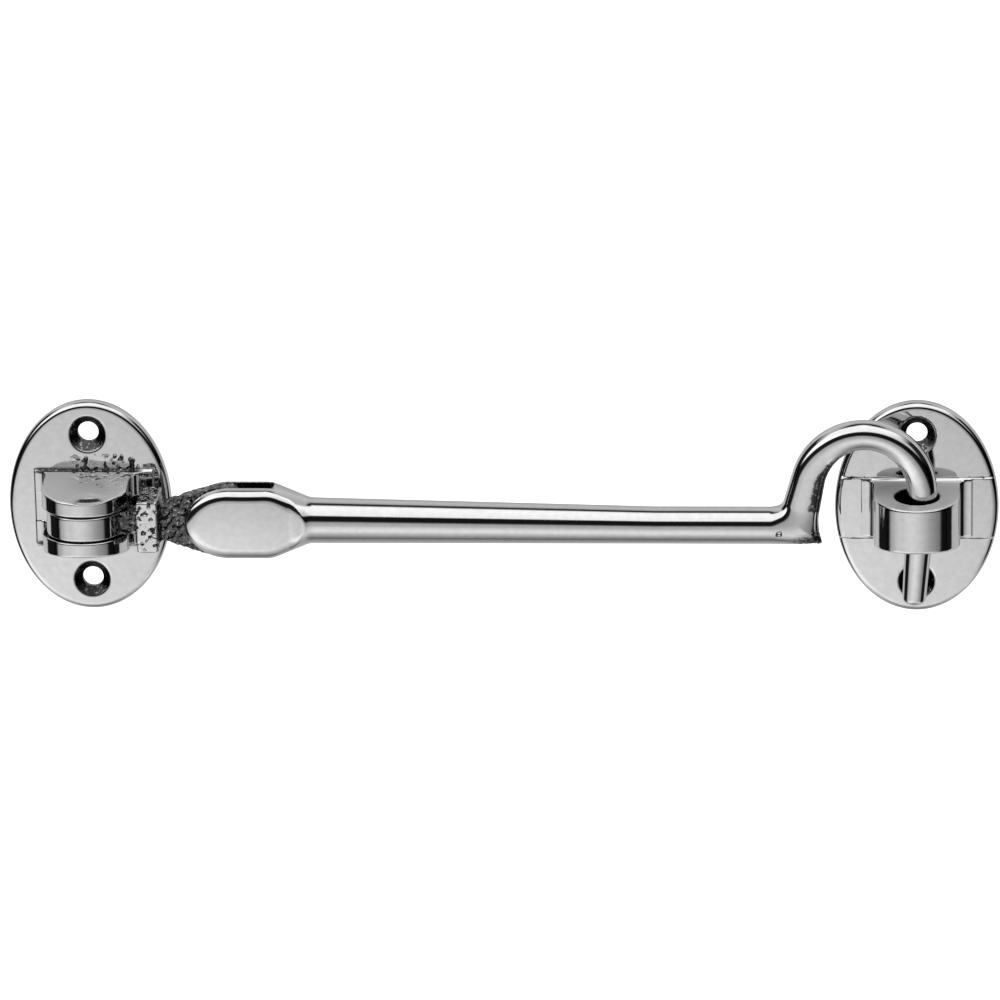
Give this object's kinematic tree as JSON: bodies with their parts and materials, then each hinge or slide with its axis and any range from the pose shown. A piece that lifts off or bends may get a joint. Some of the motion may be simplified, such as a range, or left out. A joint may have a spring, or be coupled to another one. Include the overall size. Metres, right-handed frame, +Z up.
{
  "type": "hook and eye latch",
  "caption": "Chrome cabin hook: a forked arm on a swivelling oval plate lifts and drops its bent end into the eye of a matching oval plate, to hold a door or window.",
  "frame": {"origin": "middle of the hook plate's back face, on the wall", "axes": "+X along the arm from the hook plate to the eye plate, +Y into the wall, +Z up; the front faces -Y"},
  "size_m": [0.182, 0.0176, 0.04],
  "materials": {
    "plated_casting": "polished chrome plate on a casting, rough in the corners the wheel does not reach",
    "rivet_steel": "rivet ends dressed flush and plated with the casting"
  },
  "bodies": {
    "hook_plate": {"hook_plate": "plated_casting", "pivot_pin": "rivet_steel"},
    "swivel": {"swivel_knuckle": "plated_casting"},
    "arm": {"hook_arm": "plated_casting", "lift_rivet": "rivet_steel"},
    "eye": {"eye_plate": "plated_casting"}
  },
  "joints": [
    {"name": "swing", "type": "hinge", "parent": "hook_plate", "child": "swivel", "pos_m": [0, -0.0105, 0], "axis": [0, 0, -1], "range_deg": [0, 180]},
    {"name": "lift", "type": "hinge", "parent": "swivel", "child": "arm", "pos_m": [0.0253, -0.0105, 0], "axis": [0, -1, 0], "range_deg": [0, 115]},
    {"name": "eye_release", "type": "slide", "parent": "arm", "child": "eye", "axis": [0, 0, -1], "range_m": [0, 0.024]}
  ]
}
